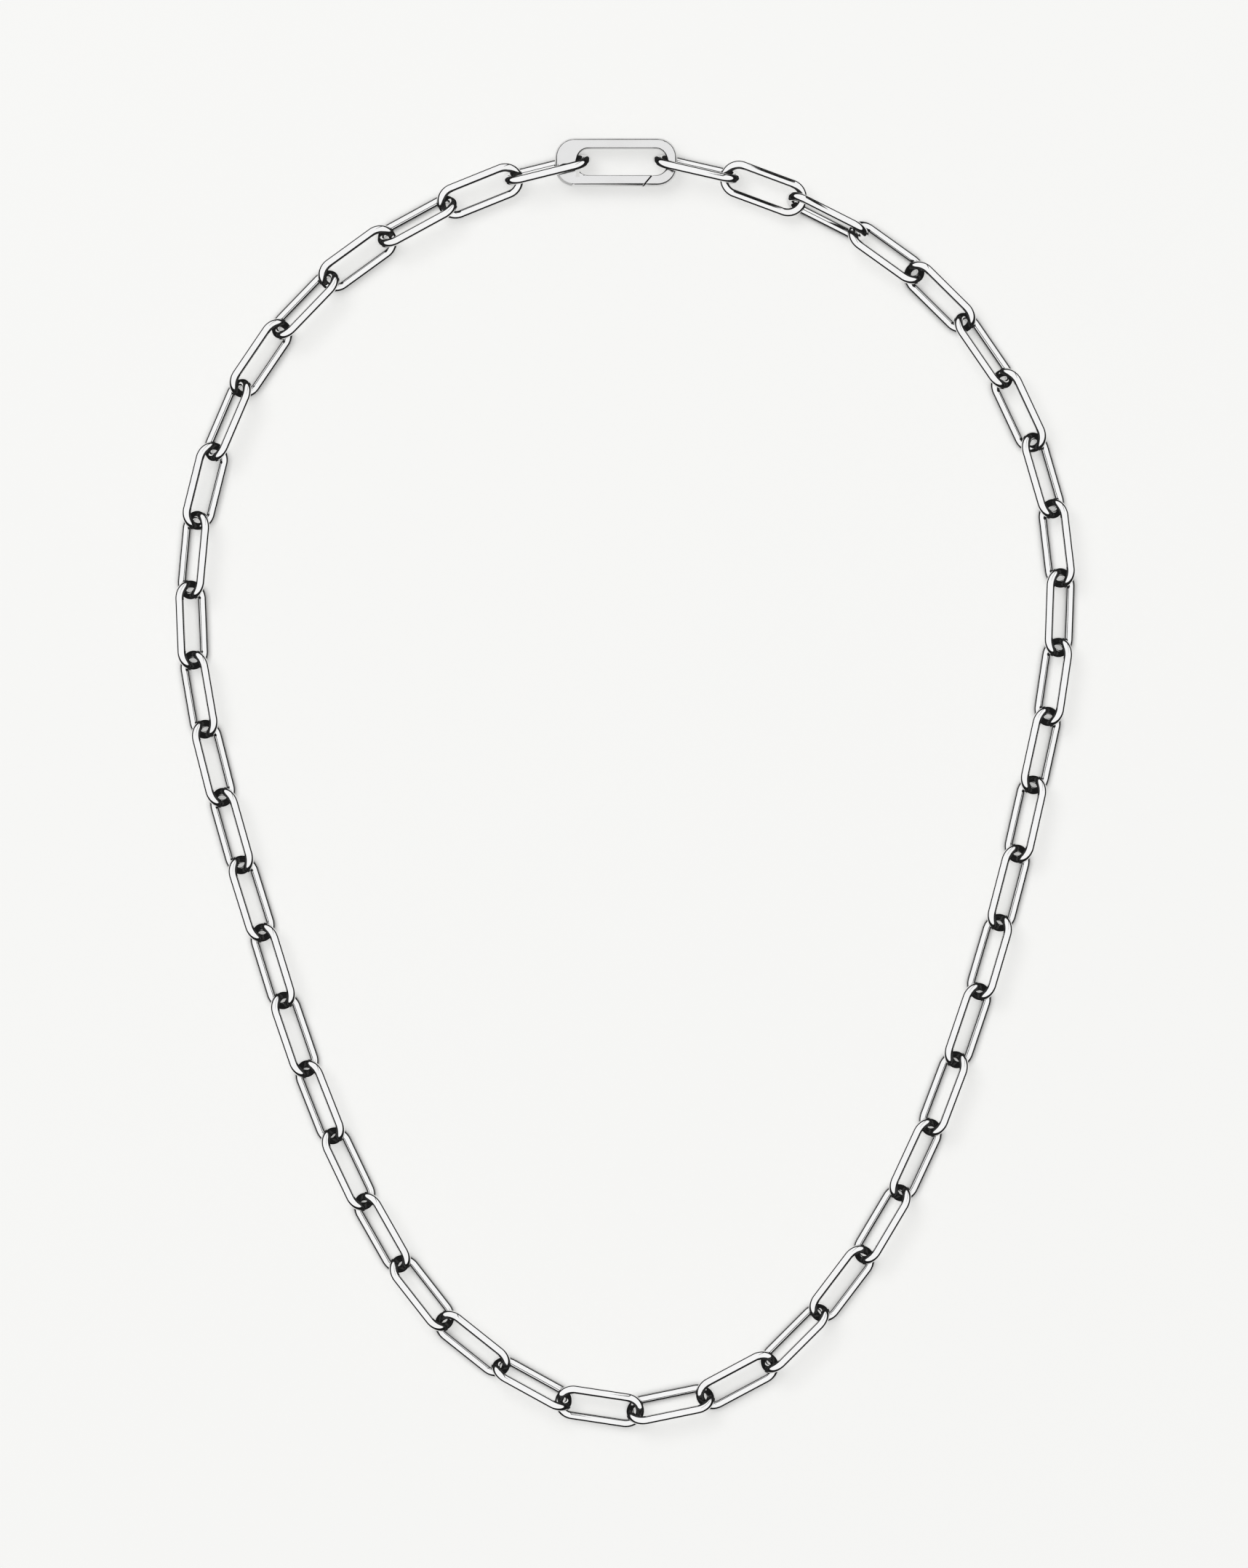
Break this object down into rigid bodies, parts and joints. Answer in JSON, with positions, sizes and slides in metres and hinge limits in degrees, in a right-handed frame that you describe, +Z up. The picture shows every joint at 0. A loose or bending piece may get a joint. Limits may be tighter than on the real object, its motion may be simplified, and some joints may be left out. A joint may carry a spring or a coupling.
{
  "type": "paperclip chain necklace",
  "caption": "Closed paperclip chain necklace of long oval round-wire links with a flat oval gate clasp, lying in a loop.",
  "frame": {"origin": "middle of the lying necklace's outline, on the surface that it lies on", "axes": "+Z up from the surface, +Y from the bottom of the loop towards the clasp, +X to the right when seen from above"},
  "size_m": [0.1236, 0.177, 0.0052],
  "materials": {
    "link_silver": "polished silver wire",
    "clasp_silver": "polished silver with fine buffing lines on the flat faces",
    "pin_silver": "drawn silver wire"
  },
  "bodies": {
    "chain": {"link_01": "link_silver", "link_02": "link_silver", "link_03": "link_silver", "link_04": "link_silver", "link_05": "link_silver", "link_06": "link_silver", "link_07": "link_silver", "link_08": "link_silver", "link_09": "link_silver", "link_10": "link_silver", "link_11": "link_silver", "link_12": "link_silver", "link_13": "link_silver", "link_14": "link_silver", "link_15": "link_silver", "link_16": "link_silver", "link_17": "link_silver", "link_18": "link_silver", "link_19": "link_silver", "link_20": "link_silver", "link_21": "link_silver", "link_22": "link_silver", "link_23": "link_silver", "link_24": "link_silver", "link_25": "link_silver", "link_26": "link_silver", "link_27": "link_silver", "link_28": "link_silver", "link_29": "link_silver", "link_30": "link_silver", "link_31": "link_silver", "link_32": "link_silver", "link_33": "link_silver", "link_34": "link_silver", "link_35": "link_silver", "link_36": "link_silver", "link_37": "link_silver", "link_38": "link_silver", "link_39": "link_silver", "link_40": "link_silver", "link_41": "link_silver", "link_42": "link_silver", "link_43": "link_silver", "link_44": "link_silver", "link_45": "link_silver", "link_46": "link_silver", "clasp_frame": "clasp_silver", "hinge_pin": "pin_silver"},
    "gate": {"clasp_gate": "clasp_silver"}
  },
  "joints": [
    {"name": "gate_swing", "type": "hinge", "parent": "chain", "child": "gate", "pos_m": [-0.00818, 0.08346, 0.0026], "axis": [0, 0, 1], "range_deg": [0, 12], "stiffness_Nm_per_rad": 0.01, "springref_deg": -17.19}
  ]
}
